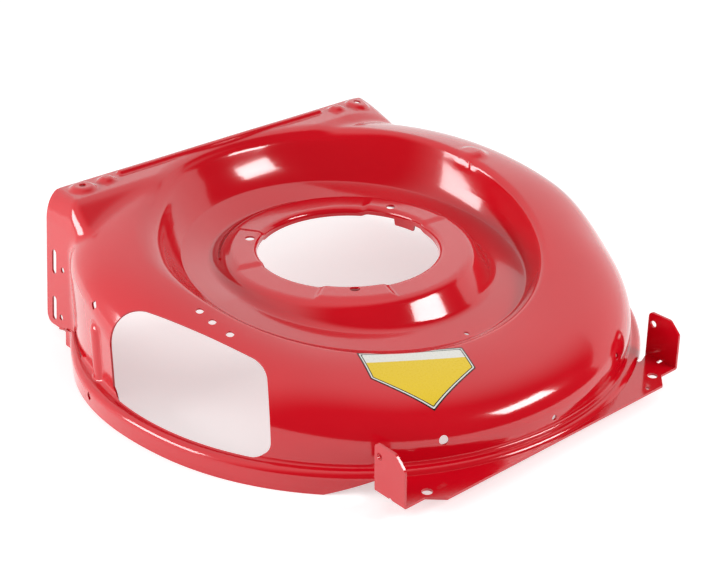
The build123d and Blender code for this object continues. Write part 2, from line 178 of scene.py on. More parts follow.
DRAIN_R = 3.0
FLANGE_LEAST_X = 200.0
SLOT_Y = 203.0
SLOT_R = 4.0
SLOT_SPANS = ((-34.5, -7.5), (-86.5, -59.5))
FLANGE_HOLES = ((187.0, -25.0), (190.0, -79.0))
FLANGE_HOLE_R = 3.3
RIM_TRIM_X = 165.0
RIM_TRIM_FOOT_X = 206.0
RIM_TRIM_Z = -88.0

# Blank label film on the front dome, its corners in plan
FILM_CORNERS = (
    (-123.5, -155.5), (-136.0, -189.0), (-108.5, -243.8), (-43.5, -229.3), (-33.0, -200.2),
)
FILM_ANGLES = (-132.0, -96.0)
FILM_PLACES = (10.6, 11.7)
FILM_SHEET = 0.25
FILM_EDGE = 1.1
FILM_LINE = 2.3
FILM_RULE = 3.2
FILM_BAND = 15.0

# Where the shelf's own sheet takes over from the dome's
SHELF_SEAM_Y = 179.0
SHELF_SEAM_X = 203.0
SHELF_SEAM_R = 200.0
SHELF_LAP = 2.0

# Working values: a far distance, a small one, a length to point with, and the grids' fineness
FAR = 9999.0
EDGE_SPARE = 0.01
LEAST_SPEED = 1e-4
POINTER = 50.0
GRID_START = -30.0
EDGE_HALVINGS = 12
HEIGHT_HALVINGS = 22
EDGE_SHARES = (0.02, 0.98)
CRISP_ANGLE = 48.0
FEATURE_ANGLES = (-174, -168, -162, 166, -148, -115, -92, -63.5, 9.5, 41, 139)
FEATURE_WIDTH = 3.5
FEATURE_BOOST = 1.6

# Finishes
ENAMEL_DEEP = (0.56, 0.001, 0.008, 1)
ENAMEL_BRIGHT = (0.66, 0.002, 0.012, 1)
FILM_YELLOW = (0.80, 0.56, 0.02, 1)
FILM_WHITE = (0.78, 0.77, 0.72, 1)
FILM_DARK = (0.012, 0.011, 0.01, 1)
FLOOR_COLOUR = (0.75, 0.75, 0.75, 1)
FLOOR_LIFT = (0.50, 0.50, 0.50, 1)

# Studio floor in metres: flat before and beyond the deck, then a round, then upright
FLOOR_NEAR = 2.5
FLOOR_BEYOND = 2.2
FLOOR_BEND = 1.2
FLOOR_WALL = 3.0
FLOOR_HALF = 12.0

# Lamps: direction from the deck, distance, width and height in metres, brightness
SOFTBOXES = {
    "front_left_softbox": ((0.47, -0.78, 0.56), 2.2, 0.9, 0.42, 15.0),
    "right_softbox": ((-0.90, 0.38, 0.24), 2.2, 1.2, 0.7, 10.0),
}

# Studio surroundings
GLOW_ELEVATION = 15.0
GLOW_LEFT = 45.0
GLOW_RANGE = (-0.2, 0.35)
GLOW_DARK = 0.04
FILL_STRENGTH = 0.68

# Camera of the photograph
VIEW_AZIMUTH = -41.141
VIEW_ELEVATION = 27.335
VIEW_FROM = (-956.31, -1114.66, 704.57)
VIEW_FOCUS_PX = 1596.70
IMAGE_WIDTH_PX = 722.0
SENSOR_WIDTH = 36.0


def smooth(low, high, value):
    """Share of the way from low to high, eased at both ends by 3s^2 - 2s^3."""
    share = np.clip((value - low) / (high - low), 0, 1)
    return share * share * (3 - 2 * share)


def mix(plain, other, share):
    """Value a share of the way from one to the other."""
    return plain + (other - plain) * share


def smooth_max(one, other, width):
    """Larger of two values, with the change-over rounded off within the width."""
    near = np.clip(width - np.abs(one - other), 0, None) / width
    return np.maximum(one, other) + near * near * width / 4


def smooth_min(one, other, width):
    """Smaller of two values, rounded off in the same way."""
    return -smooth_max(-one, -other, width)


def angle_off(angle, centre):
    """Turn from one angle to another, between -180 and 180 degrees."""
    return (angle - centre + 180) % 360 - 180


def turned(radius, angle):
    """Plan point as a complex number, at a radius and an angle in degrees."""
    return radius * np.exp(1j * np.radians(angle))


def from_crank(radius, angle, centre=BODY):
    """Distance along a ray from the crank axis to a circle about the body centre or another."""
    along = (centre * turned(1.0, -angle)).real
    return along + np.sqrt(radius**2 - abs(centre) ** 2 + along**2)


def valley_height(radius, angle):
    """Tilted plane of the valley floor, which rises towards the rear."""
    return VALLEY_MID_Z + radius * (VALLEY_TILT * turned(1.0, -angle)).real


def corner(before, at, after, radius):
    """Start, centre and end of the arc that touches both sides of a corner."""
    back = (before - at) / abs(before - at)
    ahead = (after - at) / abs(after - at)
    half = abs(np.angle(ahead / back)) / 2
    middle = (back + ahead) / abs(back + ahead)
    reach = radius / np.tan(half)
    return at + back * reach, at + middle * radius / np.sin(half), at + ahead * reach


def line(start, end, share):
    """Point of a straight run, a share of the way along it."""
    return mix(start, end, share)


def arc(touch, share):
    """Point of a corner's arc, turned about its centre by a share of its sweep."""
    start, centre, end = touch
    sweep = np.angle((end - centre) / (start - centre))
    return centre + (start - centre) * np.exp(1j * sweep * share)


def bezier(start, first, second, end, share):
    """Point of a cubic curve with two guide points between its ends."""
    rest = 1 - share
    ends = start * rest**3 + end * share**3
    return ends + 3 * rest * share * (first * rest + second * share)


def lip_foot(angle):
    """Lower edge of the crank opening, deeper over the tab."""
    off = abs(angle_off(angle, TAB_ANGLE))
    edge = smooth(TAB_HALF_ANGLE - TAB_EDGE_ANGLE, TAB_HALF_ANGLE + TAB_EDGE_ANGLE, off)
    return -mix(TAB_DEPTH, OPENING_LIP, edge)


def section(angle, place):
    """Half section of the deck as radius + i * height; place counts its runs from opening to rim.

    Straight runs and corner arcs lead over the ring and into the valley. The valley's wall bends
    towards a knee on its way up to the crest. A cubic curve makes the dome, and the wall, ledge
    and rolled rim follow. Crest, slope and wall vary with the turn from the front.
    """
    turn = angle_off(angle, FRONT_ANGLE)
    left = turn > 0
    turn = abs(turn)
    hood = np.where(left, smooth(*LEFT_HOOD_TURN, turn), smooth(*RIGHT_HOOD_TURN, turn))
    flare = np.where(left, hood, smooth(*RIGHT_FLARE_TURN, turn))
    rise = (1 - np.cos(np.radians(np.minimum(CREST_RATE * turn, 180)))) / 2
    rise = np.where(left, rise, smooth(*RIGHT_CREST_TURN, turn))
    crest_z = mix(FRONT_CREST_Z, REAR_CREST_Z, rise)
    wall = from_crank(mix(WALL_R, WALL_R_HOOD, flare), angle)
    rim_flare = np.where(left, hood, smooth(*RIM_FLARE_TURN, turn))
    rim = from_crank(mix(RIM_R, RIM_R_HOOD, rim_flare), angle)
    full = np.where(left, smooth(*LEFT_FULL_TURN, turn), 0)
    level = np.where(left, 0, smooth(*RIGHT_FLAT_TURN, turn))
    slope = mix(mix(DOME_SLOPE, LEFT_SLOPE, full), RIGHT_SLOPE, level)
    slope = np.tan(np.radians(mix(slope, HOOD_SLOPE, hood)))
    full = mix(DOME_FULL, LEFT_FULL, full)
    foot = wall + 1j * mix(DOME_FOOT_Z, HOOD_FOOT_Z, hood)
    crest_round = mix(CREST_ROUND, CREST_ROUND_HOOD, hood)
    crest_round = mix(crest_round, CREST_ROUND_REAR, smooth(*CREST_REAR_TURN, turn))
    lean = (rim - wall) / (RIM_R - WALL_R)

    lip = OPENING_R + 1j * lip_foot(angle)
    floor_r = from_crank(VALLEY_R, angle, VALLEY_CENTRE)
    floor_end = floor_r + 1j * valley_height(floor_r, angle)
    low_z = valley_height(RING_R + VALLEY_LOW_OUT, angle) - VALLEY_DISH * rise
    foot_z = np.minimum(low_z, -RING_ROUND)
    ring_foot = RING_R - RING_SIDE_RUN * foot_z + 1j * foot_z
    crest = CREST_R + 1j * crest_z
    opening_arc = corner(OPENING_R - 1j * POINTER, OPENING_R + 0j, RING_R + 0j, OPENING_ROUND)
    ring_arc = corner(OPENING_R + 0j, RING_R + 0j, ring_foot, RING_ROUND)
    foot_arc = corner(RING_R + 0j, ring_foot, floor_end, RING_FOOT_ROUND)
    knee = line(floor_end, crest, VALLEY_KNEE)
    valley_arc = corner(ring_foot, floor_end, knee, VALLEY_ROUND)
    crest_arc = corner(knee, crest, crest + POINTER * (1 - 1j * slope), crest_round)
    # guides two thirds of the way to the knee make the wall one even bend
    knee_low = line(valley_arc[2], knee, 2 / 3)
    knee_high = line(crest_arc[0], knee, 2 / 3)
    top = crest_arc[2]
    peak_z = np.maximum(top.imag - (wall - top.real) * slope, foot.imag + DOME_LEAST_RISE)
    peak = wall + 1j * peak_z
    first = line(top, peak, full)
    second = line(foot, peak, full)
    seam = wall + 1j * SEAM_Z
    ledge_in = wall + 1j * LEDGE_Z
    ledge_out = rim + 1j * LEDGE_Z
    rim_foot = rim + 1j * GROUND_Z
    ledge_arc = corner(seam, ledge_in, ledge_out, LEDGE_ROUND * lean)
    rim_arc = corner(ledge_in, ledge_out, rim_foot, RIM_ROUND * np.minimum(lean, RIM_ROUND_SHARE))

    run = np.floor(place)
    share = place - run
    runs = (
        line(lip, opening_arc[0], share),
        arc(opening_arc, share),
        line(opening_arc[2], ring_arc[0], share),
        arc(ring_arc, share),
        line(ring_arc[2], foot_arc[0], share),
        arc(foot_arc, share),
        line(foot_arc[2], valley_arc[0], share),
        arc(valley_arc, share),
        bezier(valley_arc[2], knee_low, knee_high, crest_arc[0], share / 2),
        bezier(valley_arc[2], knee_low, knee_high, crest_arc[0], (1 + share) / 2),
        arc(crest_arc, share),
        bezier(top, first, second, foot, share),
        line(foot, seam, share),
        line(seam, ledge_arc[0], share),
        arc(ledge_arc, share),
        line(ledge_arc[2], rim_arc[0], share),
        arc(rim_arc, share),
        line(rim_arc[2], rim_foot, share),
        rim_foot + 0 * share,
    )
    return np.select([run == k for k in range(len(runs))], runs)


# Run numbers of the section where sheets begin
VALLEY_UPPER_RUN = 9
CREST_RUN = 10
DOME_RUN = 11
RIM_RUN = 13


def hood_reach(angle, way):
    """Distance from the tunnel's core line to the rear hood along a direction of the section plane.

    The hood is the space between flat sides and one cone. The nearest side counts, with rounded
    change-overs, and the distance is nothing where the core line lies outside the hood.
    """
    plan = turned(1.0, angle)
    start = (CORE.real * plan.real, CORE.real * plan.imag, CORE.imag)
    heading = (way.real * plan.real, way.real * plan.imag, way.imag)
    step = math.radians(SHELF_STEP_ANGLE)
    draft = math.radians(FLANGE_DRAFT)
    fall = math.radians(FALL_ANGLE)
    fall_way = turned(math.sin(fall), FALL_HEADING)
    sides = (
        ((0, 0, 1), (0, 0, SHELF_Z), EDGE_BLEND),
        ((0, -math.sin(step), math.cos(step)), (0, SHELF_FRONT_Y, SHELF_Z), EDGE_BLEND),
        ((0, -1, 0), (0, HOOD_START_Y, 0), EDGE_BLEND),
        ((math.cos(draft), 0, math.sin(draft)), (FLANGE_X, 0, FLANGE_FOOT_Z), FLANGE_BLEND),
        ((-math.cos(draft), 0, math.sin(draft)), (-FLANGE_X, 0, FLANGE_FOOT_Z), FLANGE_BLEND),
        ((fall_way.real, fall_way.imag, math.cos(fall)), (*FALL_POINT, SHELF_Z), FALL_BLEND),
        (
            (-math.sin(step) * plan.real, -math.sin(step) * plan.imag, math.cos(step)),
            (SHELF_CREST_R * plan.real, SHELF_CREST_R * plan.imag, SHELF_Z),
            EDGE_BLEND,
        ),
        (
            (-plan.real, -plan.imag, 0),
            (SHELF_CORE_R * plan.real, SHELF_CORE_R * plan.imag, 0),
            EDGE_BLEND,
        ),
    )
    nearest = np.full(np.shape(angle), FAR)
    inside = np.ones(np.shape(angle), bool)
    for normal, point, blend in sides:
        room = sum(n * (p - s) for n, p, s in zip(normal, point, start))
        speed = sum(n * h for n, h in zip(normal, heading))
        reach = np.where(speed > LEAST_SPEED, room / np.maximum(speed, LEAST_SPEED), FAR)
        nearest = smooth_min(nearest, reach, blend)
        inside &= room > 0
    return np.where(inside, nearest, 0)


def pad_rise(angle, radius):
    """Height of the raised bolt pads: full inside each sector, eased off towards its edges."""
    height = 0
    for low, high in PAD_SPANS:
        middle = (low + high) / 2
        off = abs(angle_off(angle, middle))
        inside = np.radians((high - low) / 2 - off) * radius
        inside = np.minimum(inside, PAD_OUT_R - radius)
        height = np.maximum(height, PAD_RISE * smooth(*PAD_EDGE, inside))
    return height


def skin(angle, place):
    """Outer face of the deck: the section, stretched to the hood where that reaches further.

    The bolt pads and the round boss raise it, and the stop bead pushes it outwards.
    """
    flat = section(angle, place)
    way = flat - CORE
    reach = abs(way)
    stretched = smooth_max(reach, hood_reach(angle, way / reach), HOOD_BLEND)
    flat = np.where(place >= CREST_RUN, CORE + way / reach * stretched, flat)
    radius = flat.real
    z = flat.imag + np.where(radius < RING_R, pad_rise(angle, radius), 0)
    plan = turned(radius, angle)
    # the round boss on the left crest; a known fault is that the cone of its side has no end,
    # so it also lifts the left wall and rim
    off = abs(plan - turned(*ROUND_BOSS_AT)) - ROUND_BOSS_R
    boss_slope = math.tan(math.radians(BOSS_ANGLE))
    boss_z = ROUND_BOSS_Z - smooth_max(off, 0.0, ROUND_BOSS_EDGE) * boss_slope
    z = np.where(place >= CREST_RUN, smooth_max(z, boss_z, ROUND_BOSS_FOOT), z)
    # the upright stop bead behind the discharge opening
    out = (plan - BODY) * turned(1.0, -STOP_ANGLE)
    tall = np.clip(STOP_R**2 - np.clip(z - STOP_TOP_Z, 0, None) ** 2 - out.imag**2, 0, None)
    beaded = (tall > 0) & (z > STOP_FOOT_Z) & (out.real > CREST_R) & (place > DOME_RUN)
    grown = smooth_max(out.real, STOP_AT_R + np.sqrt(tall), STOP_BLEND)
    plan = np.where(beaded, BODY + (grown + 1j * out.imag) * turned(1.0, STOP_ANGLE), plan)
    return np.stack([plan.real, plan.imag, z], -1)


def rounded_pair(one, other, radius):
    """Signed distance outside two crossing edges, with their corner rounded."""
    one = one + radius
    other = other + radius
    beyond = np.hypot(np.maximum(one, 0), np.maximum(other, 0))
    return beyond + np.minimum(np.maximum(one, other), 0) - radius


def chute_distance(out, z):
    """Signed distance outside the discharge opening: four sides, with a round at each corner."""
    local = out * turned(1.0, -CHUTE_ANGLE)
    foot = CHUTE_FOOT_Z - z
    front = local.imag - CHUTE_FRONT_LEAN * local.real - CHUTE_FRONT_OFF
    front = front / math.hypot(1, CHUTE_FRONT_LEAN)
    top = CHUTE_TOP_OUT - CHUTE_TOP_LEAN * local.imag - local.real
    top = top / math.hypot(1, CHUTE_TOP_LEAN)
    rear = CHUTE_REAR - local.imag
    pairs = zip((foot, front, top, rear), (front, top, rear, foot), CHUTE_ROUNDS)
    return np.max([rounded_pair(one, other, radius) for one, other, radius in pairs], axis=0)


def upright_hole(plan, at, radius):
    """Distance outside a hole whose axis is upright."""
    return abs(plan - at) - radius


def slot_distance(y, z, low, high, radius):
    """Distance outside an upright slot with round ends."""
    along = np.clip(z, low + radius, high - radius)
    return np.hypot(y - SLOT_Y, z - along) - radius


def ring_keep(points):
    """Distance outside the engine bolt holes and the drain hole."""
    plan = points[:, 0] + 1j * points[:, 1]
    holes = [upright_hole(plan, turned(BOLT_CIRCLE_R, a), BOLT_HOLE_R) for a in BOLT_ANGLES]
    holes.append(upright_hole(plan, turned(*DRAIN_AT), DRAIN_R))
    return np.min(holes, axis=0)


def shelf_region(points):
    """Positive inside the part of the rear shelf that has its own, finer sheet."""
    x, y, _ = points.T
    return np.min([y - SHELF_SEAM_Y, SHELF_SEAM_X - abs(x), np.hypot(x, y) - SHELF_SEAM_R], axis=0)


def wall_keep(points):
    """Positive where the sheet stays: the least signed distance from its openings and edges."""
    x, y, z = points.T
    plan = x + 1j * y
    out = plan - BODY
    keep = [chute_distance(out, z), z - GROUND_Z + EDGE_SPARE]
    for radius, angle in HINGE_HOLES:
        hole = upright_hole(plan, BODY + turned(radius, angle), HINGE_HOLE_R)
        keep.append(np.where(z > HINGE_LEAST_Z, hole, FAR))
    for angle, height, radius in WALL_HOLES:
        local = out * turned(1.0, -angle)
        keep.append(np.where(local.real > 0, np.hypot(local.imag, z - height) - radius, FAR))
    for angle, height in SQUARE_HOLES:
        local = out * turned(1.0, -angle)
        diamond = (abs(local.imag) + abs(z - height)) / math.sqrt(2) - SQUARE_SIDE / 2
        keep.append(np.where(local.real > 0, diamond, FAR))
    flange = abs(x) > FLANGE_LEAST_X
    for low, high in SLOT_SPANS:
        keep.append(np.where(flange, slot_distance(y, z, low, high, SLOT_R), FAR))
    for at_y, at_z in FLANGE_HOLES:
        keep.append(np.where(flange, np.hypot(y - at_y, z - at_z) - FLANGE_HOLE_R, FAR))
    keep.append(REAR_Y - SHEET - y)
    foot = -rounded_pair(FLANGE_FOOT_Z - z, y - REAR_Y + SHEET, FLANGE_CORNER)
    keep.append(np.maximum(foot, FLANGE_FRONT_Y - y))
    rate = (RIM_TRIM_FOOT_X - RIM_TRIM_X) / (RIM_TRIM_Z - GROUND_Z)
    side = (abs(x) - RIM_TRIM_X - (RIM_TRIM_Z - z) * rate) / math.hypot(1, rate)
    keep.append(np.where(y < 0, np.maximum(z - RIM_TRIM_Z, side), FAR))
    keep.append(np.where(z > 0, -shelf_region(points), FAR))
    return np.min(keep, axis=0)


def pressed(outside, rise, angle):
    """Height of a pressed feature: flat, then falling at its side angle, both changes rounded."""
    fall = rise - outside * math.tan(math.radians(angle))
    return smooth_min(smooth_max(fall, 0.0, PRESS_BLEND), rise, PRESS_BLEND)


def shelf_height(x, y):
    """Height of the deck's outer face over a plan point, found by halving along its section."""
    angle = np.degrees(np.arctan2(y, x))
    radius = np.hypot(x, y)
    low = np.full(np.shape(x), float(CREST_RUN))
    high = np.full(np.shape(x), float(RIM_RUN) - 1)
    for _ in range(HEIGHT_HALVINGS):
        middle = (low + high) / 2
        point = skin(angle, middle)
        short = np.hypot(point[..., 0], point[..., 1]) < radius
        low = np.where(short, middle, low)
        high = np.where(short, high, middle)
    return skin(angle, low)[..., 2]


def shelf_skin(across, along):
    """Rear shelf and its lip: along runs back over the top, round the fold and down.

    The two bosses, the two bumps and the long bead raise it.
    """
    flat_end = REAR_Y - REAR_FOLD
    quarter = REAR_FOLD * math.pi / 2
    bend = np.clip(along - flat_end, 0, quarter) / REAR_FOLD
    y = np.minimum(along, flat_end) + REAR_FOLD * np.sin(bend)
    z = shelf_height(across, np.minimum(along, flat_end))
    z = z - REAR_FOLD * (1 - np.cos(bend)) - np.clip(along - flat_end - quarter, 0, None)
    side = abs(across)
    boss = np.hypot(side - SHELF_HOLE[0], y - SHELF_HOLE[1]) - SHELF_BOSS_R
    bump = np.hypot(side - BUMP[0], y - BUMP[1]) - BUMP_R
    bead = np.hypot(np.clip(side - BEAD_HALF, 0, None), y - BEAD_Y) - BEAD_R
    rise = np.max([
        pressed(boss, SHELF_BOSS_RISE, BOSS_ANGLE),
        pressed(bump, BUMP_RISE, BOSS_ANGLE),
        pressed(bead, BEAD_RISE, BEAD_ANGLE),
    ], axis=0)
    return np.stack([across, y, z + np.where(along < flat_end, rise, 0)], -1)


def shelf_keep(points):
    """Positive where the shelf's sheet stays: off its holes, within its lip's ends and seam."""
    x, y, _ = points.T
    hole = np.hypot(abs(x) - SHELF_HOLE[0], y - SHELF_HOLE[1]) - SHELF_HOLE_R
    lip = np.maximum(REAR_LIP_HALF - abs(x), REAR_Y - SHEET - y)
    return np.min([hole, lip, shelf_region(points)], axis=0)


def film_edge(points):
    """Distance inside the label film's outline in plan, and distance from its upper edge."""
    x, y, _ = points.T
    sides = []
    for (a, b), (c, d) in zip(FILM_CORNERS, FILM_CORNERS[1:] + FILM_CORNERS[:1]):
        sides.append(((y - b) * (c - a) - (x - a) * (d - b)) / math.hypot(c - a, d - b))
    return np.min(sides, axis=0), sides[-1]


def film_keep(points):
    """Positive inside the label film's outline."""
    return film_edge(points)[0]


def odd_first(triangles, odd):
    """Each triangle turned so that its one odd corner comes first."""
    order = (odd.argmax(1)[:, None] + np.arange(3)) % 3
    return np.take_along_axis(triangles, order, 1)


def cut_sheet(across, along, surface, keep, closed):
    """Grid of a two-parameter surface without the part where keep is negative.

    Whole cells stay quads. A cell that the edge crosses is split into triangles, whose crossing
    points are found by halving in the two parameters, so that every cut edge lies on the true
    outline.
    """
    first, second = (grid.ravel() for grid in np.meshgrid(across, along))
    points = surface(first, second)
    value = keep(points)
    ids = np.arange(len(points)).reshape(len(along), len(across))
    if closed:
        ids = np.hstack([ids, ids[:, :1]])
    quads = np.stack([ids[:-1, :-1], ids[1:, :-1], ids[1:, 1:], ids[:-1, 1:]], -1).reshape(-1, 4)
    inside = value[quads] > 0
    whole = quads[inside.all(1)]
    crossed = quads[inside.any(1) & ~inside.all(1)]
    triangles = np.vstack([crossed[:, [0, 1, 2]], crossed[:, [0, 2, 3]]])
    inside = value[triangles] > 0
    count = inside.sum(1)
    tip = odd_first(triangles[count == 1], inside[count == 1])
    gap = odd_first(triangles[count == 2], ~inside[count == 2])
    ends = np.vstack([tip[:, [0, 1]], tip[:, [0, 2]], gap[:, [0, 1]], gap[:, [0, 2]]])
    ends, where = np.unique(np.sort(ends, 1), axis=0, return_inverse=True)
    where = where.ravel() + len(points)
    low = np.where(value[ends[:, 0]] > 0, ends[:, 0], ends[:, 1])
    high = ends.sum(1) - low
    kept, lost = np.zeros(len(ends)), np.ones(len(ends))
    for _ in range(EDGE_HALVINGS):
        share = (kept + lost) / 2
        trial = surface(mix(first[low], first[high], share), mix(second[low], second[high], share))
        good = keep(trial) > 0
        kept = np.where(good, share, kept)
        lost = np.where(good, lost, share)
    share = np.clip(kept, *EDGE_SHARES)
    added = surface(mix(first[low], first[high], share), mix(second[low], second[high], share))
    one, two, three, four = np.split(where, np.cumsum([len(tip), len(tip), len(gap)]))
    faces = whole.tolist()
    faces += triangles[count == 3].tolist()
    faces += np.stack([tip[:, 0], one, two], -1).tolist()
    faces += np.stack([three, gap[:, 1], gap[:, 2], four], -1).tolist()
    return np.vstack([points, added]), faces


def make_piece(name, points, faces, material, node=None, sheet=SHEET, facts=None):
    """Mesh piece from points in millimetres, riding on the deck.

    It is thickened inwards by the sheet, or outwards where the sheet is negative.
    """
    mesh = bpy.data.meshes.new(name)
    used, faces_flat = np.unique(np.concatenate([np.ravel(f) for f in faces]), return_inverse=True)
    sizes = np.cumsum([len(f) for f in faces])[:-1]
    mesh.from_pydata(points[used] * MM, [], [f.tolist() for f in np.split(faces_flat, sizes)])
    mesh.polygons.foreach_set("use_smooth", np.ones(len(mesh.polygons), bool))
    mesh.materials.append(material)
    for key, values in (facts or {}).items():
        fact = mesh.attributes.new(key, "FLOAT", "POINT")
        fact.data.foreach_set("value", values[used].astype(np.float32))
    piece = bpy.data.objects.new(name, mesh)
    bpy.context.scene.collection.objects.link(piece)
    wall = piece.modifiers.new("sheet", "SOLIDIFY")
    wall.thickness = abs(sheet) * MM
    wall.offset = -np.sign(sheet)
    edge = piece.modifiers.new("crisp edges", "EDGE_SPLIT")
    edge.split_angle = math.radians(CRISP_ANGLE)
    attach(piece, "root")
    if node:
        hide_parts(node)
    return piece


class Shade:
    """A shader value that can be used in sums."""

    def __init__(self, tree, socket):
        self.tree = tree
        self.socket = socket

    def _math(self, operation, one, other):
        node = self.tree.nodes.new("ShaderNodeMath")
        node.operation = operation
        for place, value in zip(node.inputs, (one, other)):
            if isinstance(value, Shade):
                self.tree.links.new(value.socket, place)
            else:
                place.default_value = value
        return Shade(self.tree, node.outputs[0])

    def __add__(self, other):
        return self._math("ADD", self, other)

    __radd__ = __add__

    def __sub__(self, other):
        return self._math("SUBTRACT", self, other)

    def __rsub__(self, other):
        return self._math("SUBTRACT", other, self)

    def __mul__(self, other):
        return self._math("MULTIPLY", self, other)

    __rmul__ = __mul__

    def over(self, limit):
        return self._math("GREATER_THAN", self, limit)


def add_node(tree, kind, settings=None, inputs=None, output=0):
    """One shader node: settings first, then its sockets' values or links; gives one output."""
    node = tree.nodes.new("ShaderNode" + kind)
    for key, value in (settings or {}).items():
        setattr(node, key, value)
    for key, value in (inputs or {}).items():
        if isinstance(value, Shade):
            tree.links.new(value.socket, node.inputs[key])
        else:
            node.inputs[key].default_value = value
    return Shade(tree, node.outputs[output])


def new_material(name):
    """Empty material with its surface shader, as (material, tree, shader)."""
    material = bpy.data.materials.new(name)
    material.use_nodes = True
    tree = material.node_tree
    return material, tree, tree.nodes["Principled BSDF"]


def link(tree, shade, shader, socket):
    """Feed a shader value into a surface shader's socket."""
    tree.links.new(shade.socket, shader.inputs[socket])


def red_enamel():
    """Glossy baked enamel: a deep red that drifts a little, fine orange peel, an uneven gloss."""
    material, tree, shader = new_material("red_enamel")
    place = add_node(tree, "TexCoord", output=3)
    drift = add_node(tree, "TexNoise", None, {"Vector": place, "Scale": 9.0, "Detail": 3.0})
    peel = add_node(tree, "TexNoise", None, {"Vector": place, "Scale": 240.0, "Detail": 2.0})
    dust = add_node(tree, "TexNoise", None, {"Vector": place, "Scale": 60.0, "Detail": 6.0})
    reds = {0: drift, 6: ENAMEL_DEEP, 7: ENAMEL_BRIGHT}
    red = add_node(tree, "Mix", {"data_type": "RGBA"}, reds, 2)
    link(tree, red, shader, "Base Color")
    link(tree, 0.09 + drift * 0.05 + dust * 0.05, shader, "Roughness")
    bump = add_node(tree, "Bump", None, {"Strength": 0.04, "Distance": 0.0003, "Height": peel})
    link(tree, bump, shader, "Normal")
    shader.inputs["Coat Weight"].default_value = 0.6
    shader.inputs["Coat Roughness"].default_value = 0.06
    return material


def label_film():
    """Blank printed film: dark edge, white line, dark rule, a white band above a yellow field."""
    material, tree, shader = new_material("label_film")
    place = add_node(tree, "TexCoord", output=3)
    edge = add_node(tree, "Attribute", {"attribute_name": "edge"}, output=2)
    band = add_node(tree, "Attribute", {"attribute_name": "band"}, output=2)
    speck = add_node(tree, "TexNoise", None, {"Vector": place, "Scale": 400.0, "Detail": 3.0})

    def over(mask, below, above):
        return add_node(tree, "Mix", {"data_type": "RGBA"}, {0: mask, 6: below, 7: above}, 2)

    colour = over(1 - band.over(FILM_BAND), FILM_YELLOW, FILM_WHITE)
    colour = over(1 - edge.over(FILM_RULE), colour, FILM_DARK)
    colour = over(1 - edge.over(FILM_LINE), colour, FILM_WHITE)
    colour = over(1 - edge.over(FILM_EDGE), colour, FILM_DARK)
    colour = over(speck * 0.06, colour, FILM_DARK)
    link(tree, colour, shader, "Base Color")
    link(tree, 0.22 + speck * 0.12, shader, "Roughness")
    return material


def pale_floor():
    """Pale studio floor: matt, lifted where it is seen straight, in gloss or through glass."""
    material, tree, shader = new_material("pale_floor")
    place = add_node(tree, "TexCoord", output=3)
    grain = add_node(tree, "TexNoise", None, {"Vector": place, "Scale": 40.0})
    shader.inputs["Base Color"].default_value = FLOOR_COLOUR
    link(tree, 0.85 + grain * 0.1, shader, "Roughness")
    shader.inputs["Specular IOR Level"].default_value = 0.0
    seen = sum(add_node(tree, "LightPath", output=k) for k in (0, 3, 6))
    glow = {0: seen, 6: (0, 0, 0, 1), 7: FLOOR_LIFT}
    link(tree, add_node(tree, "Mix", {"data_type": "RGBA"}, glow, 2), shader, "Emission Color")
    shader.inputs["Emission Strength"].default_value = 1.0
    return material


def view_axes():
    """Right, up and back directions of the camera from its azimuth and elevation."""
    azimuth, elevation = math.radians(VIEW_AZIMUTH), math.radians(VIEW_ELEVATION)
    flat = math.cos(elevation)
    back = np.array([math.sin(azimuth) * flat, -math.cos(azimuth) * flat, math.sin(elevation)])
    right = np.array([math.cos(azimuth), math.sin(azimuth), 0.0])
    return right, np.cross(back, right), back


def add_camera():
    """Camera at the photograph's place and angle."""
    data = bpy.data.cameras.new("photo_view")
    data.sensor_fit = "HORIZONTAL"
    data.sensor_width = SENSOR_WIDTH
    data.lens = VIEW_FOCUS_PX / IMAGE_WIDTH_PX * SENSOR_WIDTH
    camera = bpy.data.objects.new("photo_view", data)
    right, up, back = view_axes()
    pose = np.eye(4)
    pose[:3, :3] = np.stack([right, up, back], 1)
    pose[:3, 3] = np.array(VIEW_FROM) * MM
    camera.matrix_world = Matrix(pose.tolist())
    bpy.context.scene.collection.objects.link(camera)
    bpy.context.scene.camera = camera


def add_softbox(name, way, distance, width, height, radiance):
    """Rectangular lamp in a direction from the deck, aimed at it; its power grows with its area."""
    data = bpy.data.lights.new(name, "AREA")
    data.shape = "RECTANGLE"
    data.size = width
    data.size_y = height
    data.energy = radiance * math.pi * width * height
    lamp = bpy.data.objects.new(name, data)
    back = np.array(way, float) / np.linalg.norm(way)
    side = np.cross((0.0, 0.0, 1.0), back)
    side /= np.linalg.norm(side)
    pose = np.eye(4)
    pose[:3, :3] = np.stack([side, np.cross(back, side), back], 1)
    pose[:3, 3] = back * distance
    lamp.matrix_world = Matrix(pose.tolist())
    bpy.context.scene.collection.objects.link(lamp)


